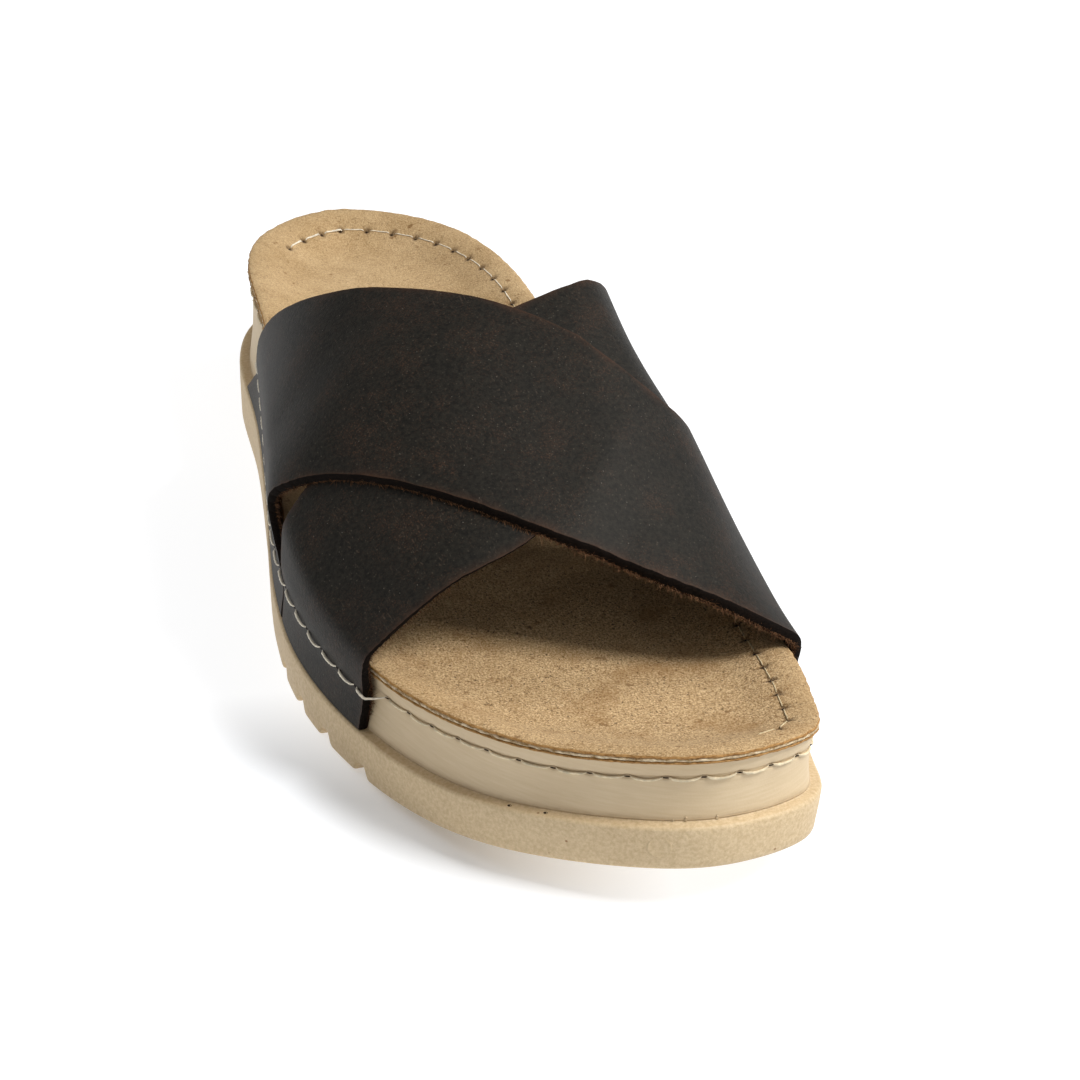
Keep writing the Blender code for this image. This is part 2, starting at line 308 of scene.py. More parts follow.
class Look(Nodes):
    """A material. Its colour starts as a ground, and coats are laid over it."""

    def __init__(self, name, roughness, sockets=None):
        self.material = bpy.data.materials.new(name)
        self.material.use_nodes = True
        super().__init__(self.material.node_tree, "Object")
        self.shader = self.tree.nodes["Principled BSDF"]
        self.colour = None
        constants = {"Roughness": roughness, "IOR": 1.45, "Specular IOR Level": 0.5}
        for key, value in {**constants, **(sockets or {})}.items():
            self.shader.inputs[key].default_value = value

    def coat(self, colour, share, where=None):
        """Lays a colour over the others in this share, or in the share times where."""
        if where:
            settings = {"operation": "MULTIPLY"}
            share = self.add("ShaderNodeMath", settings, {0: share, 1: where}).outputs[0]
        made = self.add("ShaderNodeMix", {"data_type": "RGBA"})
        for index, value in ((0, share), (6, self.colour), (7, colour)):
            if isinstance(value, bpy.types.NodeSocket):
                self.tree.links.new(value, made.inputs[index])
            else:
                made.inputs[index].default_value = linear(value) if index else value
        self.colour = made.outputs[2]

    def done(self, key, *heights):
        """Links the colour and a chain of bumps: (value, depth in mm), coarse first."""
        self.tree.links.new(self.colour, self.shader.inputs["Base Color"])
        socket = self.shader.inputs["Normal"]
        for value, depth in heights[::-1]:
            settings = {"Strength": 1.0, "Distance": depth * MM}
            made = self.add("ShaderNodeBump", settings, {"Height": value})
            self.tree.links.new(made.outputs["Normal"], socket)
            socket = made.inputs["Normal"]
        LOOKS[key] = self.material
        print(f"{key}: {self.material.name}")


print("helpers ready; cream is", [round(v, 2) for v in linear("d6c3a0")])

# %% [markdown]
# ## Cast polyurethane for the outsole
# The outsole is polyurethane foam cast in a blasted mould. The mould leaves a fine pebbled
# grain about half a millimetre across, and the skin has small brown specks and tiny pits.

# %% Outsole material
look = Look("cast_polyurethane", 0.6)
look.colour = look.ramp(look.noise(28), (0.35, "c2a982"), (0.65, "cdb58e"))
look.coat(look.ramp(look.noise(0.8, 3, 0.7), (0.35, "b59c75"), (0.65, "e4cfac")), 0.4)
look.coat("946f48", look.specks(6, 0.03, 0.03))
# Painted shade on the flange's top where it meets the wall, heavier along the lateral side.
look.coat("8a6c48", look.spread(look.noise(4, 3, 0.6), 0.3, 0.7, 0.8, 0.4), look.mark("painted_shade"))
look.done("outsole", (look.noise(2.5, 2), 0.12), (look.noise(0.8, 2), 0.12))

# %% [markdown]
# ## Trimmed foam for the wall
# The wall of the midsole is trimmed on a wheel after the sole is glued up. That leaves a
# smoother, greyer face with faint streaks that run along the wall.

# %% Midsole material
look = Look("trimmed_foam", 0.6)
streaks = look.noise(0.6, 4, 0.6, look.stretch((0.08, 0.08, 1.0)))
look.colour = look.ramp(look.noise(24), (0.35, "c8b28f"), (0.65, "d1bc9a"))
look.coat(look.ramp(streaks, (0.3, "c1ab88"), (0.7, "d9c6a7")), 0.35)
look.coat("9c7549", look.specks(6, 0.03, 0.03))
# Painted shade in the stitch channel, round the needle dimples and in the crease at the foot.
look.coat("70481f", look.spread(look.noise(3, 3, 0.6), 0.3, 0.7, 1.0, 0.4), look.mark("painted_shade"))
look.done("wall", (streaks, 0.03), (look.noise(0.5, 2), 0.03))

# %% [markdown]
# ## Suede for the footbed
# Suede is leather with its fibres raised. Stroked fibres lie different ways, so patches look
# lighter or darker, and single dark fibres and pores show as fine specks. The front is
# yellower and soiled. Shade is painted under the straps and into the puckers at the needle holes.

# %% Suede material
SOFT = {"Sheen Weight": 0.04, "Sheen Roughness": 0.5, "Specular IOR Level": 0.1}
look = Look("footbed_suede", 0.95, SOFT)
brushed = look.stretch((1.0, 0.8, 1.0))
nap = look.noise(5, 4, 0.7)
grain = look.noise(0.4, 3, 0.8, brushed)
front = look.mark("front")
look.colour = look.ramp(look.noise(24, 4, 0.6), (0.33, "a88a60"), (0.67, "c8aa80"))
mottled = look.ramp(nap, (0.33, "8a6a42"), (0.67, "d3b68c"))
look.coat(mottled, look.spread(front, 0, 1, 0.45, 0.25))
look.coat("d6a266", look.spread(front, 0, 1, 0.3))
fibres = look.ramp(grain, (0.37, "4f3822"), (0.5, "b3956a"), (0.63, "ecd2a9"))
look.coat(fibres, look.spread(front, 0, 1, 0.66, 0.25))
pores = look.spread(look.noise(0.65, 2, 0.6, brushed), 0.62, 0.68, 0.85)
look.coat("4a3420", pores, look.spread(front, 0, 1, 1.0, 0.4))
look.coat("7d5b36", look.spread(look.noise(3.2, 3, 0.65), 0.63, 0.7, 0.75))
look.coat("8c6536", look.spread(look.noise(14, 4, 0.65), 0.52, 0.68, 0.5), front)
# Painted shade where the straps overhang the footbed.
look.coat("54371c", look.spread(look.noise(9, 3, 0.6), 0.3, 0.7, 0.5, 0.25), look.mark("strap_shade"))
# Painted shade in the puckers round the needle holes, broken up by noise.
shade_breakup = look.spread(look.noise(0.5, 2, 0.6), 0.3, 0.6, 1.0, 0.45)
look.coat("3a2412", shade_breakup, look.mark("pulled"))
look.done("suede", (nap, 0.2), (grain, 0.25))

# %% [markdown]
# ## Cut edges
# The footbed is a sandwich: suede on top, a pale fibre core and a brown backing. Cut
# through, the two leathers are brown and fuzzy, and the core is a broken white line. The
# straps' cut edges are nearly black, with a brown flesh side and paler loose fibres.

# %% Edge materials
# Look, material, dark and light colour, size of the fibres in mm, where the dark ends.
EDGES = [
    ("suede_edge", "cut_suede", "75512d", "c49962", 0.5, 0.3),
    ("core", "fibre_core", "8c6f48", "dfcfb0", 0.8, 0.38),
    ("cut_leather", "cut_leather", "060504", "1a120d", 0.4, 0.3),
    ("flesh", "flesh_side", "17100a", "3d2a1b", 0.6, 0.3),
    ("fibre", "loose_fibre", "33231a", "866144", 0.8, 0.3),
]
for key, name, dark, light, size_mm, low in EDGES:
    look = Look(name, 0.9, {"Specular IOR Level": 0.1})
    fibres = look.noise(size_mm, 4, 0.7, look.stretch((0.5, 0.5, 1.4)))
    look.colour = look.ramp(fibres, (low, dark), (1 - low, light))
    look.done(key, (fibres, 0.2))

# %% [markdown]
# ## Oiled nubuck for the straps
# Nubuck is sanded on the grain side, then oiled. It is almost black, with a brown cast where
# it was rubbed or bent, faint scratches, and single pale flecks of dust in the nap. The oil
# gives it a soft wide sheen at a flat angle.

# %% Nubuck material
OILED = {
    "Sheen Weight": 0.02, "Sheen Roughness": 0.35, "Sheen Tint": (1.0, 0.85, 0.7, 1.0),
    "Specular IOR Level": 0.2, "Specular Tint": (1.0, 0.94, 0.86, 1.0),
}
look = Look("oiled_nubuck", 0.58, OILED)
nap = look.noise(0.9, 4, 0.75)
rubbed = look.noise(12, 5, 0.7)
look.colour = look.ramp(look.noise(26, 4, 0.6), (0.35, "0e0e0c"), (0.65, "171613"))
look.coat(look.ramp(nap, (0.38, "020202"), (0.62, "26231d")), 0.6)
look.coat("38261b", look.spread(rubbed, 0.52, 0.74, 0.25))
grains = look.spread(look.noise(0.4, 2, 0.7), 0.52, 0.66, 0.6)
look.coat("453023", grains, look.spread(rubbed, 0.42, 0.62))
scratched = look.spread(look.noise(16, 3, 0.6), 0.52, 0.6)
for turn in (20, 75, 140):
    lines = look.stretch((1.0, 0.06, 1.0), (0.3, 0.5, math.radians(turn)))
    look.coat("53453a", look.spread(look.noise(0.5, 2, 0.4, lines), 0.68, 0.73, 0.3), scratched)
look.coat("474138", look.specks(1.0, 0.09, 0.1), look.spread(nap, 0.4, 0.6, 0.8))
look.coat("6a655d", look.specks(2.2, 0.03, 0.02))
look.coat("492f20", look.spread(look.mark("worn"), 0.05, 1.0, 0.9))
look.done("nubuck", (rubbed, 0.12), (nap, 0.1), (look.noise(0.4, 2), 0.06))

# %% [markdown]
# ## Thread and needle holes
# The stitches are a waxed cream thread of three plies, about half a millimetre thick. Inside
# the footbed the same thread is soiled. A needle hole is drawn as a dark brown patch of painted
# shade that stands for the opening.

# %% Thread materials
# Look, material, colour, roughness.
PLAIN = [
    ("thread", "waxed_thread", "f7ecd6", 0.6),
    ("wall_thread", "waxed_thread_on_foam", "ecdcbb", 0.8),
    ("soiled_thread", "soiled_thread", "d6c39c", 0.9),
    # The needle hole's dark colour is painted shade for the opening.
    ("hole", "needle_hole", "2a1c12", 1.0),
]
SHADE = 0.82
for key, name, code, roughness in PLAIN:
    look = Look(name, roughness)
    dark = "".join(f"{int(int(code[i : i + 2], 16) * SHADE):02x}" for i in (0, 2, 4))
    look.colour = look.ramp(look.noise(1.5, 2), (0.3, dark), (0.7, code))
    look.done(key)

# %% [markdown]
# ## Meshes from rings
# Every part is built of rings: one ring of points at each step of a profile, joined with
# plain quads. The same few helpers serve the sole, the straps and the stitches.

# %% Mesh helpers


def to_world(points):
    """Turns (station, x, height) in millimetres into metres in the frame."""
    p = np.asarray(points, float)
    return np.stack([p[:, 1], LENGTH / 2 - p[:, 0], p[:, 2]], 1) * MM


def add_piece(name, points, faces, looks, node, kinds=None, flat=None, marks=None):
    """Makes a piece that stands for a node, attaches it to the root body and hides the node's
    imported part.
    """
    mesh = bpy.data.meshes.new(name)
    mesh.from_pydata(to_world(points).tolist(), [], faces)
    for look in looks:
        mesh.materials.append(LOOKS[look])
    if kinds is not None:
        mesh.polygons.foreach_set("material_index", kinds)
    for mark, values in (marks or {}).items():
        mesh.attributes.new(mark, "FLOAT", "POINT").data.foreach_set("value", values)
    mesh.shade_smooth()
    if flat:
        mesh.set_sharp_from_angle(angle=math.radians(flat))
    obj = add_object(name, mesh)
    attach(obj, "root")
    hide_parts(node)
    print(f"{name}: {len(mesh.polygons)} faces")


def ring_faces(base, n, steps):
    """Quads up a stack of rings of n points, the first of which starts at base."""
    faces = []
    for r in range(base, base + steps * n, n):
        faces += [(r + i, r + (i + 1) % n, r + n + (i + 1) % n, r + n + i) for i in range(n)]
    return faces


def tube_faces(base, n, steps):
    """The same with both ends filled in."""
    last = base + steps * n
    ends = [tuple(range(base, base + n))[::-1], tuple(range(last, last + n))]
    return ring_faces(base, n, steps) + ends


def circle(sides):
    return [2 * math.pi * m / sides for m in range(sides)]


def add_disc(points, faces, centre, normal, right, ahead, rings, sides):
    """A disc of (size, height) rings, with the last one filled in."""
    base = len(points)
    for size, high in rings:
        for angle in circle(sides):
            offset = right * math.cos(angle) + ahead * math.sin(angle)
            points.append(centre + offset * size + normal * high)
    last = len(points) - sides
    faces += [*ring_faces(base, sides, len(rings) - 1), tuple(range(last, last + sides))]


def loft(rings, n, closed=False):
    """Quads between rings of n points. A closed loft joins the last ring to the first."""
    points = np.vstack([np.column_stack([p, z]) for p, z in rings])
    quads = np.array(ring_faces(0, n, len(rings) - (not closed))) % len(points)
    return points, quads[:, ::-1].tolist()


def bridge(base, n, upward):
    """Strips straight across one ring."""
    faces = []
    for i in range(n // 2):
        corners = [base + i, base + i + 1, base + (n - i - 1) % n, base + (n - i) % n]
        face = list(dict.fromkeys(corners))
        faces.append(face[::-1] if upward else face)
    return faces


def capped(rings, n):
    points, faces = loft(rings, n)
    return points, faces + bridge(0, n, False) + bridge(len(points) - n, n, True)


print("a tube of 4 sides and 2 steps has", len(tube_faces(0, 4, 2)), "faces")

# %% [markdown]
# ## Rings round the sole
# The sole's rings are copies of the outline moved in or out. Near the edge a point moves
# square to the outline, and further in towards the middle line, so that rings never cross.

# %% Rings
MIDDLE_LINE = (30, 222)
TO_MIDDLE = 0.93


def lap_of(ring):
    """Lengths along a closed ring of points, up to the first point again."""
    step = np.roll(ring, -1, 0) - ring
    return np.concatenate([[0], np.cumsum(np.hypot(step[:, 0], step[:, 1]))])


def around(lap, values, at):
    """Reads values, which are given at a closed ring's points, at lengths along it."""
    return np.interp(at % lap[-1], lap, np.append(values, values[0]))


class Sole:
    """Rings round the outline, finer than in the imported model."""

    def __init__(self, per):
        self.q, self.normal = outline(per)
        self.n = len(self.q)
        middle = (self.q + self.q[(-np.arange(self.n)) % self.n]) / 2
        s = middle[:, 0] = np.clip(middle[:, 0], *MIDDLE_LINE)
        middle[:, 1] = (side_x(s, 1, 0) + side_x(s, -1, 0)) / 2
        self.to_middle = middle - self.q
        self.reach = np.hypot(self.to_middle[:, 0], self.to_middle[:, 1])
        self.lap = lap_of(self.q)
        self.run, self.girth = self.lap[:-1], self.lap[-1]
        self.tip = self.run[self.n // 2]

    def out(self, out):
        """A ring this far outside the outline. Out may differ from point to point."""
        return self.q + self.normal * np.reshape(out, (-1, 1))

    def inset(self, inset):
        """A ring this far inside the outline. The inset may differ from point to point."""
        inset = inset + np.zeros(self.n)
        near = self.q - self.normal * inset[:, None]
        share = np.clip(inset / self.reach, 0, TO_MIDDLE)[:, None]
        far = self.q + self.to_middle * share
        blend = smooth((inset - 3) / 10)[:, None]
        return near * (1 - blend) + far * blend

    def centre(self):
        return self.inset(LENGTH)


sole = Sole(100)
station = sole.q[:, 0]
print("points round the sole:", sole.n, "girth", round(sole.girth), "mm")

# %% [markdown]
# ## Stitch lines
# The wall stitching runs round the sole 5.5 mm below the rim. A machine sews it with even
# stitches of 7.5 mm. Each stitch is a short bow of thread that goes into a needle hole at
# both ends. Where a strap hangs down over the wall the same thread goes over the leather.

# %% Stitch places
STITCH = 7.5
STITCH_BELOW = 5.5
EDGE = 1.95
BOW_IN = 0.7
# On either wall: the rear cut, the slit between the straps, the front cut, the stitches' girth.
LATERAL_WALL = (OVER_REAR, (150.3, 150.8), UNDER_FRONT, 0.11)
MEDIAL_WALL = (UNDER_REAR, (157.2, 157.8), OVER_FRONT, 0.89)


def covered(s, lateral):
    """Whether leather hangs over the wall at this station, at the height of the stitches."""
    rear, slit, front, girth = LATERAL_WALL if lateral else MEDIAL_WALL
    return along(rear, girth) < s < slit[0] or slit[1] < s < along(front, girth)


def waist(s, height):
    """How far the wall bows in between the outsole and the footbed."""
    low, high = flange_top(s) + GAP, rim(s) - EDGE
    return BOW_IN * np.sin(math.pi * np.clip((height - low) / (high - low), 0, 1))


def on_outline(at):
    """Station, x and outward normal this far along the outline."""
    s, x, *normal = (around(sole.lap, v, at) for v in (*sole.q.T, *sole.normal.T))
    return s, x, unit(np.array([*normal, 0.0]))


def wall_point(at):
    """A place on the stitches' line, the outward normal and whether it lies on leather."""
    s, x, normal = on_outline(at)
    z = rim(s) - STITCH_BELOW
    leather = covered(s, at > sole.tip)
    stand = STRAP_STAND if leather else -WALL_INSET - waist(s, z)
    return np.array([s, x, z]) + normal * stand, normal, leather


stitch_count = round(sole.girth / STITCH)
pitch = sole.girth / stitch_count
stitch_at = np.arange(stitch_count) * pitch
print(stitch_count, "stitches of", round(pitch, 2), "mm round the wall")

# %% [markdown]
# ## Outsole
# The outsole stands 1.8 mm outside the footbed all round. Its side is drafted so that it
# leaves the mould, its top edge is rounded, and a small fillet runs up against the wall.
# The tread grooves under the ball have rounded lips, so they are dips in the rings' height.

# %% Outsole
# Out from the outline and up from the ground, round the lower edge.
FOOT = [(0.1, 0.0), (0.55, 0.12), (0.9, 0.4), (1.1, 0.9)]
DRAFT = 0.7
CORNER = 0.8
# Out from the outline and up from the flange, over the fillet to the wall.
LIP = [(-0.2, 0.02), (-0.45, 0.06), (-0.58, 0.14), (-0.66, 0.25), (-0.85, 0.3), (-1.4, 0.32)]


def ground(s):
    """Height of the underside: the toe's spring and the grooves of the tread."""
    depth = np.zeros_like(s)
    for at in GROOVES:
        t = np.clip((np.abs(s - at) - GROOVE_WIDTH * 0.3) / (GROOVE_WIDTH * 0.75), 0, 1)
        depth = np.maximum(depth, GROOVE_DEPTH * (1 - smooth(t)))
    return toe_spring(s) + depth


low, top = ground(station), flange_top(station)
under = (sole.centre(), sole.inset(14), sole.inset(6), sole.inset(2))
rings = [(p, ground(p[:, 0])) for p in under]
rings += [(sole.out(out), low + up) for out, up in FOOT]
out, up = FOOT[-1]
for share in (0.25, 0.5, 0.75):
    height = low + up + share * (top - 1.9 - low - up)
    rings.append((sole.out(out + DRAFT * share), height))
for angle in np.radians(np.linspace(8, 82, 8)):
    out = FLANGE_OUT - CORNER + CORNER * math.cos(angle)
    rings.append((sole.out(out), top - CORNER + CORNER * math.sin(angle)))
side = len(rings)
rings += [(sole.out(out), top + up) for out, up in LIP]
rings += [(p, flange_top(p[:, 0])) for p in (sole.inset(3), sole.centre())]
# Painted shade on the flange's top and the fillet against the wall: light at the toe and on the
# medial side, heavier along the lateral side, patchy.
lateral_share = smooth((sole.run - sole.tip - 5) / 55)
flange_shade = (0.25 + 0.75 * lateral_share) * (0.75 + 0.25 * wander(sole.run, 9, 3))
painted_shade = np.zeros((len(rings), sole.n))
for ring, share in enumerate((0.12, 0.32, 0.42, 0.42, *[0.4] * (len(LIP) - 2)), side - 2):
    painted_shade[ring] = share * flange_shade
marks = {"painted_shade": painted_shade.ravel()}
add_piece("outsole_cast", *capped(rings, sole.n), ["outsole"], "outsole", marks=marks)

# %% [markdown]
# ## Midsole wall
# The wall is a plain band between outsole and footbed. The stitches pull a shallow channel
# into the foam, and each needle hole pulls a small dimple round it. Shade is painted into the
# channel, the dimples and the crease at the foot of the wall.

# %% Midsole


def bell(x, width):
    return np.exp(-((x / width) ** 2))


foot = flange_top(station) + GAP
stitch_z = rim(station) - STITCH_BELOW
gap = (sole.run[:, None] - stitch_at[None, :] + sole.girth / 2) % sole.girth - sole.girth / 2
dimple = bell(np.abs(gap).min(1), 0.9)
levels = [foot + up for up in (0, 0.2, 0.45, 0.8, 1.3)]
levels += [foot + 2 + (stitch_z - 3.6 - foot) * k / 9 for k in range(10)]
near = (1.2, 0.85, 0.6, 0.42, 0.28, 0.14)
levels += [stitch_z + up for up in (*(-v for v in near), 0, *near[::-1], 1.6, 2.2, 2.8, 3.2)]
levels.append(rim(station) - EDGE - 0.05)
rings = [(sole.centre(), flange_top(sole.centre()[:, 0]) + GAP), (sole.inset(4), foot)]
painted_shade = []
patchy = 0.7 + 0.3 * wander(sole.run, 12, 4)
for z in levels:
    down = z - stitch_z
    channel = 0.16 * bell(down, 0.45) + 0.4 * dimple * bell(down, 0.6)
    rings.append((sole.out(-WALL_INSET - waist(station, z) - channel), z))
    # Painted shade: a thin line in the channel above the thread, a spot in each needle dimple and
    # a soft line in the crease at the foot of the wall.
    line = 0.45 * bell(down - 0.3, 0.2) + 0.8 * dimple * bell(down, 0.3)
    at_foot = 0.4 * bell(z - foot - 0.45, 0.35)
    painted_shade.append(np.clip((line + at_foot) * patchy, 0, 1))
for inset, share in ((1.6, 0), (6, 0.25), (12.5, 0.75), (18, 0.95), (30, 1), (LENGTH, 1)):
    p = sole.inset(inset)
    rings.append((p, rim(p[:, 0]) - INSOLE - GAP - share * along(BED, p[:, 0])))
painted_shade = np.pad(painted_shade, ((2, len(rings) - len(painted_shade) - 2), (0, 0)))
marks = {"painted_shade": painted_shade.ravel()}
add_piece("midsole_wall", *capped(rings, sole.n), ["wall"], "midsole", marks=marks)

# %% [markdown]
# ## Footbed
# The footbed is cut from a sandwich about 3 mm thick and pressed into a dish. Its rim is
# rounded over by wear. The cut edge shows a brown line, a white line and a brown line, each
# of them a little ragged, so every layer gets its own wandering edge.

# %% Footbed
# Station, distance of the seam from the footbed's edge.
SEAM_LINE = [(0, 7.8), (20, 7), (45, 5.6), (80, 5.6), (170, 6.5), (225, 6.6), (LENGTH, 5.8)]
SEAM_PITCH = 6.5
BED_EDGE = 18.0
TUCK = 2.6
# Depths below the rim between which the core and the backing show.
CORE, BACKING = (0.66, 1.34), (1.36, EDGE)


def bed_height(p, inset):
    inset = inset + np.zeros(sole.n)
    blend = smooth(inset / np.minimum(40, TO_MIDDLE * sole.reach))
    top = rim(station) * (1 - blend) + rim(p[:, 0]) * blend
    share = np.clip(along(DISH, np.clip(inset, 1.6, 30)), 0, 1)
    return top - share * along(BED, p[:, 0])


def on_seam(at):
    return np.stack([around(seam_lap, seam_ring[:, k], at) for k in (0, 1)], 1)


def puckers(p):
    """How strongly the suede is pulled in: 1 at a needle hole, with a faint star round it. It
    sets both the dent and the painted shade of the pucker.
    """
    pulled = np.zeros(len(p))
    for k, at in enumerate(on_seam(seam_at)):
        away = p - at
        gap2 = (away**2).sum(1)
        turn = np.arctan2(away[:, 1], away[:, 0])
        star = (0.5 + 0.5 * np.cos((3 + k % 3) * turn + 2.4 * k)) ** 3
        halo = 0.1 + 0.9 * smooth((at[0] - 60) / 60) * star
        pulled = np.maximum(pulled, 1.3 * np.exp(-gap2 / 0.5) + halo * np.exp(-gap2 / 1.8))
    return np.clip(pulled, 0, 1)


def make_layer(start, end, out, seed):
    """A closed band from one depth to another: outside up, over, and back down inside."""
    ragged = out + 0.14 * wander(sole.run, 3.5, seed)
    wave = 0.07 * wander(sole.run, 11, seed + 1) + rim(station)
    profile = [(-0.2, end - 0.03), (0, end - 0.14), (0.06, (start + end) / 2)]
    profile += [(0, start + 0.14), (-0.2, start + 0.03)]
    rings = [(sole.out(ragged + by), wave - down) for by, down in profile]
    tuck = sole.inset(TUCK)
    rings = [(tuck, rim(station) - end), *rings, (tuck, rim(station) - start)]
    return loft(rings, sole.n, closed=True)


seam_ring = sole.inset(along(SEAM_LINE, station))
seam_lap = lap_of(seam_ring)
at = np.arange(0, seam_lap[-1], SEAM_PITCH)
s = around(seam_lap, seam_ring[:, 0], at)
lateral = at > seam_lap[sole.n // 2]
# Its needle holes show on the medial side, and at the heel and the waist of the other.
seam_at = at[(~lateral & (s < 246)) | (lateral & ((s < 20) | ((s > 80) & (s < 188))))]

ragged = 0.16 * wander(sole.run, 5, 11)
wave = 0.10 * wander(sole.run, 14, 12)
top = rim(station)
rings = [(sole.inset(TUCK), top - 0.8), (sole.out(ragged - 0.25), top - 0.72)]
for out, down in ((-0.03, 0.62), (0.0, 0.42), (-0.05, 0.24), (-0.2, 0.1), (-0.5, 0.02)):
    rings.append((sole.out(out + ragged), top - down + wave))
insets = [1.1, 1.6, 2.4, 3.2, 4, *np.arange(4.6, 10.6, 0.35), 11.2, 12.5, 14, 16, BED_EDGE]
edge_share = BED_EDGE / sole.reach
insets += [sole.reach * (edge_share + (TO_MIDDLE - edge_share) * k / 9) for k in range(1, 10)]
for k, inset in enumerate(insets):
    p = sole.inset(inset)
    z = bed_height(p, inset)
    if 4 <= k < len(insets) - 10:
        z = z - 0.5 * puckers(p)
    rings.append((p, z + wave * np.maximum(0, 1 - inset / 4)))
points, faces = loft(rings, sole.n)
faces += bridge(len(points) - sole.n, sole.n, True)
kinds = np.zeros(len(faces), int)
kinds[: 5 * sole.n] = 1
inward = np.concatenate([np.zeros(7 * sole.n)] + [inset + np.zeros(sole.n) for inset in insets])
s, x = points[:, 0], points[:, 1]
front = smooth((s - 120) / 70) * (0.45 + 0.55 * smooth(inward / 9))
# Painted shade under the straps, from the waist forward to about the upper strap's front edge.
strap_shade = smooth((s - 55) / 20) * smooth((175 + 0.5 * x - s) / 30)
marks = {"pulled": puckers(points[:, :2]), "front": front, "strap_shade": strap_shade}
add_piece("footbed_suede", points, faces, ["suede", "suede_edge"], "insole", kinds, marks=marks)
add_piece("footbed_core", *make_layer(*CORE, 0.0, 21), ["core"], "insole")
add_piece("footbed_backing", *make_layer(*BACKING, 0.02, 31), ["suede_edge"], "insole")

# %% [markdown]
# ## The arch of the straps
# Both straps follow one arch over the foot. At each station a section is drawn: up the wall
# from the flange, over the rim, and across the foot in two Bezier halves that meet at the
# crown. Girth measures how far round a section a point lies.

# %% Arch
ACROSS = 160
ARCH_FROM, ARCH_TO, ARCH_STEP = 40.0, 226.0, 3.0
# Girths of the ends, the lateral rim, the crown and the medial rim.
GIRTHS = [0, 0.15, 0.5, 0.85, 1]


def run_length(line):
    return np.concatenate([[0], np.cumsum(np.hypot(*np.diff(line, axis=0).T))])


def sample(line, at):
    return np.stack([np.interp(at, run_length(line), line[:, k]) for k in (0, 1)], 1)


def kernel(reach, width):
    weight = np.exp(-0.5 * (np.arange(-reach, reach + 1) / width) ** 2)
    return weight / weight.sum()


def half_section(s, side, table, crown):
    foot, edge = flange_top(s) + GAP, rim(s)
    rise, lean = along(table, s, 1), math.radians(along(table, s, 2))
    x_wall = side_x(s, side, STRAP_STAND)
    x_rim = side_x(s, side, STRAP + GAP + 0.5)
    start = np.array([x_rim, edge + 1 + rise])
    reach = math.dist(start, crown) * 0.42
    a = start + reach * np.array([-side * math.cos(lean), math.sin(lean)])
    b = crown + np.array([side * abs(crown[0] - x_rim) * 0.55, 0])
    t = np.linspace(0, 1, 60)[:, None]
    over = (1 - t) ** 3 * start + 3 * (1 - t) ** 2 * t * a + 3 * (1 - t) * t**2 * b + t**3 * crown
    wall = np.linspace((x_wall, edge - 5), (x_rim, edge - 1.5), 8)
    skirt = [(x_wall - side * 0.7, foot), (x_wall - side * 0.6, (foot + edge) / 2)]
    return np.vstack([skirt, wall, over])


def section(s):
    """(x, height) across one station. Its corners are blurred, as thick leather bends."""
    crown = np.array([along(CROWN, s, 2), along(CROWN, s, 1)])
    lateral = half_section(s, -1, LATERAL_SIDE, crown)
    medial = half_section(s, 1, MEDIAL_SIDE, crown)
    line = np.vstack([lateral, medial[-2::-1]])
    line = sample(line, np.linspace(0, run_length(line)[-1], 260))
    padded = np.vstack([2 * line[0] - line[9:0:-1], line, 2 * line[-1] - line[-2:-11:-1]])
    line = np.stack([np.convolve(padded[:, k], kernel(9, 3.0), "valid") for k in (0, 1)], 1)
    top = np.argmin(np.hypot(*(line - crown).T))
    left = np.argmin(np.abs(line[:top, 1] - rim(s)))
    right = top + np.argmin(np.abs(line[top:, 1] - rim(s)))
    marks = run_length(line)[[0, left, top, right, -1]]
    return sample(line, np.interp(np.linspace(0, 1, ACROSS + 1), GIRTHS, marks))


SECTIONS = np.array([section(s) for s in np.arange(ARCH_FROM, ARCH_TO, ARCH_STEP)])
padded = np.concatenate([SECTIONS[:1]] * 3 + [SECTIONS] + [SECTIONS[-1:]] * 3)
ARCH = sum(w * padded[k : k + len(SECTIONS)] for k, w in enumerate(kernel(3, 1.3)))


def arch(s, u):
    """(station, x, height) of the arch's skin at stations and girths."""
    row, column = (s - ARCH_FROM) / ARCH_STEP, u * ACROSS
    i = np.clip(row.astype(int), 1, len(ARCH) - 3)
    j = np.clip(column.astype(int), 1, ACROSS - 2)
    near = (-1, 0, 1, 2)
    lines = [cubic([ARCH[i + m, j + n] for n in near], (column - j)[..., None]) for m in near]
    return np.concatenate([s[..., None], cubic(lines, (row - i)[..., None])], -1)


def arch_normal(s, u):
    du = arch(s, np.clip(u + 0.006, 0, 1)) - arch(s, np.clip(u - 0.006, 0, 1))
    return unit(np.cross(arch(s + 1.5, u) - arch(s - 1.5, u), du))


def over_lift(s, u):
    """How far the upper strap is lifted where it lies on the lower one."""
    inside = np.minimum(s - along(UNDER_REAR, u), along(UNDER_FRONT, u) - s)
    slack = STRAP_SLACK * smooth((u - 0.45) / 0.12)
    ends = smooth((u - 0.14) / 0.05) * smooth((0.8 - u) / 0.25)
    return (STRAP - 0.1 + slack) * smooth((inside + 26) / 26) * ends


print("arch crown:", round(float(ARCH[:, :, 1].max()), 1), "mm above the floor")

# %% [markdown]
# ## Straps
# Each strap is one cut of leather 2.2 mm thick. Its skin, its cut edges and its fuzzy flesh
# side look different, so each row across the strap is a closed ring: skin, front edge,
# flesh, rear edge. The cut wanders slightly and its corners are eased, as a knife leaves it.

# %% Straps
# Distances from the cut of the points near it.
NEAR = [0.35, 0.55, 0.8, 1.15, 1.7, 2.6, 4.0]
MIDDLE = 36
ROWS = 400
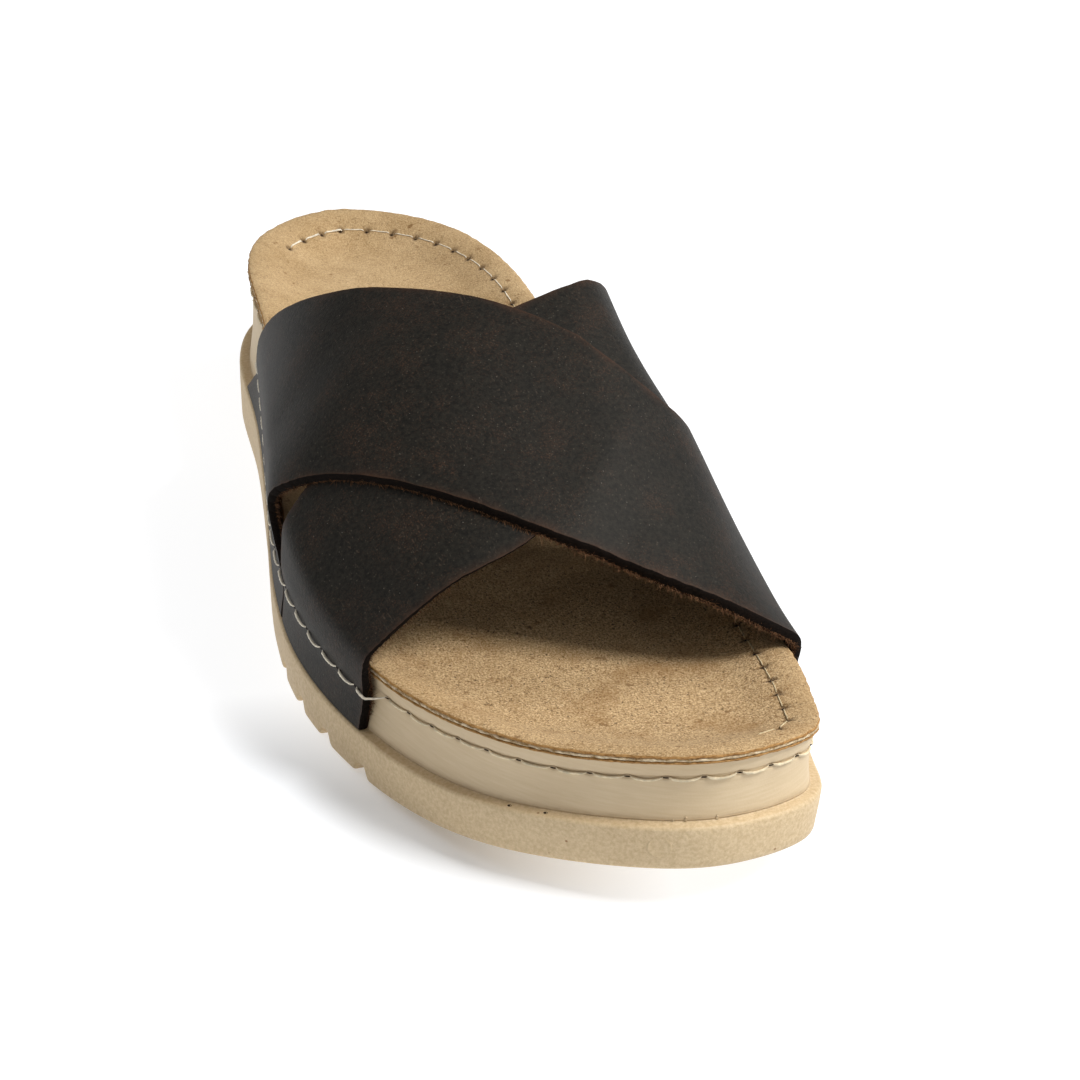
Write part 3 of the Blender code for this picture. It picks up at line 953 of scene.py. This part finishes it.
# Back from the cut and down from the skin, over the cut edge.
CUT = [(0.28, 0.1), (0.05, 0.36), (0, 0.8), (0, 1.2), (0, 1.55), (0.1, 1.9), (0.35, STRAP - 0.03)]
# Name, rear and front cut, lifted, slant, loose fibres, seed.
STRAPS = [
    ("under", UNDER_REAR, UNDER_FRONT, False, -1.4, 3000, 41),
    ("over", OVER_REAR, OVER_FRONT, True, 0.8, 7000, 51),
]
# Girths of the rows, closer together where the strap bends over the lateral rim.
share = np.sort(np.concatenate([np.linspace(0, 1, 1900), np.linspace(0.13, 0.24, 500)]))
ROW_GIRTHS = np.interp(np.linspace(0, 1, ROWS), np.linspace(0, 1, len(share)), share)


def cut_slant(slant, u):
    """A strap that is cut back on its flesh side is cut square where it hangs on the wall."""
    return slant * (smooth((u - 0.11) / 0.08) if slant < 0 else np.ones_like(u))


def make_strap(rear, front, lifted, slant, seed):
    """Slant is how far the flesh side stands forward of the skin at the front cut."""
    u = ROW_GIRTHS
    slant = cut_slant(slant, u)
    length = np.linspace(0, 300, ROWS)
    rear_line = along(rear, u) + 0.12 * wander(length, 9, seed)
    front_line = along(front, u) + 0.12 * wander(length, 9, seed + 1)
    fuzz_rear, fuzz_front = (0.3 * wander(length, 3, seed + k) for k in (2, 3))
    width = front_line - rear_line
    share = np.linspace(0, 1, MIDDLE + 2)[1:-1]
    across = [np.full(ROWS, v) for v in NEAR] + [4 + (width - 8) * v for v in share]
    across += [width - v for v in NEAR[::-1]]
    rings = [(rear_line + v, 0.0) for v in across]
    for back, depth in CUT:
        frayed = fuzz_front * (depth / STRAP) ** 2
        rings.append((front_line - back + slant * depth / STRAP + frayed, depth))
    for v in across[::-1]:
        rings.append((np.minimum(rear_line + v, front_line + np.minimum(slant, 0) - 0.4), STRAP))
    for back, depth in CUT[::-1]:
        rings.append((rear_line + back + fuzz_rear * (depth / STRAP) ** 2, depth))
    s = np.stack([r[0] for r in rings], 1)
    depth = np.array([r[1] for r in rings])[None, :]
    girth = np.repeat(u[:, None], len(rings), 1)
    lift = lifted * over_lift(s, girth)
    points = arch(s, girth) + arch_normal(s, girth) * (lift - depth)[..., None]
    skin = len(across) - 1
    kinds = ([0] * skin + [1] * 5 + [2] * (skin + 6) + [1] * 5) * (ROWS - 1) + [1, 1]
    # Brown where the oil has rubbed off: a thin line at the cut, a soft band behind it.
    away = np.maximum(np.minimum(s - rear_line[:, None], front_line[:, None] - s), 0)
    broad = 0.5 + 0.5 * wander(length, 14, seed + 4)[:, None]
    thin = 0.75 + 0.25 * wander(length, 5, seed + 5)[:, None]
    worn = np.clip(0.45 * broad * bell(away, 2.2) + 0.6 * thin * bell(away, 0.6), 0, 1)
    marks = {"worn": worn.ravel()}
    return points.reshape(-1, 3), tube_faces(0, len(rings), ROWS - 1), kinds, marks


looks = ["nubuck", "cut_leather", "flesh"]
for name, rear, front, lifted, slant, _, seed in STRAPS:
    points, faces, kinds, marks = make_strap(rear, front, lifted, slant, seed)
    add_piece(f"strap_{name}", points, faces, looks, "upper", kinds, flat=50, marks=marks)

# %% [markdown]
# ## Loose fibres on the cut edges
# A knife cut through thick leather leaves short brown fibres along the flesh side. Each one
# is a thin bent sliver, 0.25 to 1.15 mm long, set on the lower corner of the cut.

# %% Fibres


def make_fibres(rear, front, lifted, slant, count, seed):
    rng = np.random.default_rng(seed)
    u = rng.uniform(0.03, 0.97, count)
    at_front = rng.random(count) < 0.7
    deep = rng.uniform(1.45, STRAP, count)
    slant = cut_slant(slant, u)
    s = np.where(at_front, along(front, u) + slant * deep / STRAP - 0.1, along(rear, u) + 0.1)
    normal = arch_normal(s, u)
    base = arch(s, u) + normal * (lifted * over_lift(s, u) - deep)[:, None]
    forward = rng.normal(0, 0.5, (count, 3))
    forward[:, 0] += np.where(at_front, 0.8, -0.8)
    reach = (0.25 + 0.9 * rng.random(count) ** 3)[:, None]
    bend = rng.normal(0, 0.4, (count, 3))
    wide = unit(np.cross(forward, normal + bend))
    rows = []
    for t, half in ((0.0, 0.045), (0.55, 0.035), (1.0, 0.01)):
        p = base + forward * reach * t + bend * reach * t * t - normal * 0.15 * t
        rows += [p - wide * half, p + wide * half]
    steps = [k for start in range(0, 6 * count, 6) for k in (start, start + 2)]
    return np.stack(rows, 1).reshape(-1, 3), [(k, k + 1, k + 3, k + 2) for k in steps]


for name, *strap, seed in STRAPS:
    add_piece(f"fibres_{name}", *make_fibres(*strap, seed + 20), ["fibre"], "upper")

# %% [markdown]
# ## Stitches
# A stitch is a bow of waxed thread 0.55 mm thick with three plies twisted round each other.
# Its section is a circle with three shallow lobes that turn along the thread. Both ends dive
# into needle holes, small dents painted dark with shade, wider in the foam than in the leather.

# %% Thread
# Half the thread's thickness, and the length in which a ply turns once.
THREAD = 0.29
PLY_TURN = 1.2
THREAD_SIDES, THREAD_STEPS = 10, 18
OUT_OF_HOLE = 0.55
# Size and height of the rings of a hole, and of the gate's round mark.
HOLE = [(1.0, -0.05), (0.8, 0.035), (0.4, -0.02)]
GATE = [(2.5, -0.06), (2.35, 0.12), (2.1, 0.05), (1.0, 0.02)]
HOLE_IN_LEATHER, HOLE_IN_FOAM, HOLE_IN_BED = (0.4, 0.12), (0.65, 0.15), (0.35, 0.25)


def add_stitch(points, faces, start, end, normal, bow, rise, thick=THREAD, corner=(0.5, 0.0)):
    """Adds one stitch from start to end. Bow is how far its middle hangs to one side, and
    corner says where along it, and how high, it is pulled over an edge."""
    length = np.linalg.norm(end - start)
    across = unit(np.cross(end - start, normal))
    edge_at, edge_high = corner
    base = len(points)
    for t in np.linspace(0, 1, THREAD_STEPS + 1):
        body = math.sin(math.pi * t)
        high = thick * (-1.5 + 2.5 * min(1.0, 3.2 * body)) * 0.6 + rise * body
        high += edge_high * min(t / edge_at, (1 - t) / (1 - edge_at))
        centre = start + (end - start) * t + normal * high + across * bow * body
        size = thick * (0.6 + 0.4 * min(1.0, 2.2 * body)) * (0.78 + 0.3 * t)
        for angle in circle(THREAD_SIDES):
            lobe = 1 + 0.14 * math.cos(3 * angle - 2 * math.pi * length * t / PLY_TURN)
            offset = across * math.cos(angle) + normal * math.sin(angle)
            points.append(centre + offset * size * lobe)
    faces += tube_faces(base, THREAD_SIDES, THREAD_STEPS)


def add_hole(points, faces, centre, run, normal, size):
    """An oval of painted shade set just proud of the surface, hollow in the middle."""
    long, wide = unit(run) * size[0], unit(np.cross(run, normal)) * size[1]
    add_disc(points, faces, centre, normal, long, wide, HOLE, 14)


rng = random.Random(5)
threads = {"midsole": ([], []), "upper": ([], [])}
holes = {"midsole": ([], []), "upper": ([], [])}
for at in stitch_at:
    start, normal_a, leather_a = wall_point(at + OUT_OF_HOLE)
    end, normal_b, leather_b = wall_point(at + pitch - OUT_OF_HOLE)
    normal = unit(normal_a + normal_b)
    group = "upper" if leather_a or leather_b else "midsole"
    bow, rise = (-0.6, 0.08) if group == "upper" else (-0.4, -0.02)
    corner = (0.5, 0.0)
    if leather_a == leather_b:
        middle = wall_point(at + pitch / 2)[0]
        rise += max(0.0, (middle - (start + end) / 2) @ normal)
    else:
        # It goes over the cut edge of a strap.
        places = at + OUT_OF_HOLE + (pitch - 2 * OUT_OF_HOLE) * np.linspace(0.02, 0.98, 49)
        on_skin = np.clip(np.mean([wall_point(p)[2] for p in places]), 0.1, 0.9)
        drop = abs((start - end) @ normal)
        corner = (on_skin if leather_a else 1 - on_skin, drop * on_skin)
    bow *= rng.uniform(0.6, 1.4)
    add_stitch(*threads[group], start, end, normal, bow, rise, THREAD, corner)
    hole, normal, leather = wall_point(at)
    group, size = ("upper", HOLE_IN_LEATHER) if leather else ("midsole", HOLE_IN_FOAM)
    add_hole(*holes[group], hole, end - start, normal, size)
for group, look in (("midsole", "wall_thread"), ("upper", "thread")):
    add_piece(f"stitches_{group}", *threads[group], [look], group)
    add_piece(f"needle_holes_{group}", *holes[group], ["hole"], group)

# %% [markdown]
# ## Seam in the footbed
# The suede is also sewn down 6 to 8 mm inside its edge. The thread lies low in the nap, so
# it only shows at the heel. In front it is soiled, and every needle hole is a pucker with shade
# painted into it.

# %% Footbed seam
UP = np.array([0.0, 0.0, 1.0])
OUT_OF_SUEDE = 0.8


def bed_point(at):
    """(station, x, height) on the seam."""
    height = bed_height(seam_ring, along(SEAM_LINE, station))
    return np.append(on_seam(np.array([at]))[0], around(seam_lap, height, at))


threads = {"thread": ([], []), "soiled_thread": ([], [])}
holes = ([], [])
for at in seam_at:
    start, end = bed_point(at + OUT_OF_SUEDE), bed_point(at + SEAM_PITCH - OUT_OF_SUEDE)
    look = "thread" if start[0] < 60 else "soiled_thread"
    thick = 0.26 if start[0] < 20 and start[1] < 6 else 0.15
    add_stitch(*threads[look], start, end, UP, rng.uniform(-0.1, 0.1), -0.06, thick)
    add_hole(*holes, bed_point(at) - UP * 0.45, end - start, UP, HOLE_IN_BED)
for look, thread in threads.items():
    add_piece(f"footbed_{look}", *thread, [look], "insole")
add_piece("needle_holes_footbed", *holes, ["hole"], "insole")

# %% [markdown]
# ## Marks of the mould
# Casting leaves a few small marks near the toe: two vent pinholes on top of the flange, the
# round mark of the gate on its side, and slivers of flash at the foot of the wall.

# %% Mould marks
# Places along the outline, from the tip of the toe to the lateral side.
PINHOLES = (34.9, 42.6)
GATE_AT = 12.1
# Place and height of the slivers.
FLASH = [(1.3, 1.0), (7.5, 1.1), (10.0, 0.5)]


def toe_point(at, out, below=0.0):
    """A place out from the outline, below the top of the flange, and the normal there."""
    s, x, normal = on_outline(sole.tip + at)
    return np.array([s, x, flange_top(s) - below]) + normal * out, normal


pinholes, gate, points, faces = ([], []), ([], []), [], []
# Each pinhole is an oval of painted shade.
for at in PINHOLES:
    spot, normal = toe_point(at, 0.4)
    add_hole(*pinholes, spot + UP * 0.03, np.cross(UP, normal), UP, (0.5, 0.4))
spot, normal = toe_point(GATE_AT, 1.62, 4.5)
add_disc(*gate, spot, normal, np.cross(UP, normal), UP, GATE, 28)
for at, tall in FLASH:
    spot, normal = toe_point(at, -0.6)
    side = np.cross(UP, normal) * 0.2
    faces += tube_faces(len(points), 4, 2)
    for up, out in ((-0.3, 0.2), (tall * 0.5, 0.1), (tall, -0.15)):
        for k, j in ((1, -1), (1, 1), (-1, 1), (-1, -1)):
            points.append(spot + UP * up + normal * out * k + side * j)
add_piece("pinholes", *pinholes, ["hole"], "outsole")
add_piece("gate_mark", *gate, ["outsole"], "outsole")
add_piece("flash", points, faces, ["wall"], "outsole")

# %% [markdown]
# ## Floor and light
# The sandal stands on a white light table, which glows less in front of the toe, where the
# shadow shows. A white tent lights it, bright overhead and dim near the floor. A large soft
# box, high up to the right and in front, gives the shapes their shading and the shadow that
# the straps drop on the footbed. Two small weak ones, low on either side, draw the gleam on
# the straps' bends.

# %% Floor and light
WHITE = (1, 1, 1, 1)
SHADE_AT = (-0.06, -0.1, 0.0)
LAMP_TARGET = Vector((0, 0, 0.02))
# Name, place, size, power.
LAMPS = [
    ("soft_box", (0.73, -0.58, 1.25), 0.5, 23),
    ("left_box", (-0.8, 0.55, 0.8), 0.3, 1.0),
    ("right_box", (1.0, 0.1, 0.6), 0.3, 2.4),
]
bpy.ops.mesh.primitive_plane_add(size=12)
floor = bpy.context.object
floor.name = "floor"
look = Look("white_floor", 1.0, {"Emission Color": WHITE, "Specular IOR Level": 0.0})
settings = {"operation": "DISTANCE", 1: SHADE_AT}
away = look.add("ShaderNodeVectorMath", settings, {0: look.place}).outputs["Value"]
away = look.spread(away, 0.03, 0.07)
look.colour = "eef0f3"
look.coat("949597", away)
glow = look.spread(away, 0, 1, 0.86, 0.15)
look.tree.links.new(glow, look.shader.inputs["Emission Strength"])
look.done("floor")
floor.data.materials.append(look.material)

world = bpy.data.worlds.new("tent")
world.use_nodes = True
sky = Nodes(world.node_tree, "Generated")
height = sky.add("ShaderNodeSeparateXYZ", {}, {"Vector": sky.place}).outputs["Z"]
background = sky.tree.nodes["Background"]
background.inputs["Color"].default_value = WHITE
sky.tree.links.new(sky.spread(height, -0.1, 1.0, 0.6), background.inputs["Strength"])
bpy.context.scene.world = world

for name, place, size, power in LAMPS:
    data = bpy.data.lights.new(name, "AREA")
    data.energy, data.size = power, size
    turned = (Vector(place) - LAMP_TARGET).to_track_quat("Z", "Y").to_matrix().to_4x4()
    add_object(name, data).matrix_world = Matrix.Translation(place) @ turned
bpy.context.scene.view_settings.view_transform = "Standard"
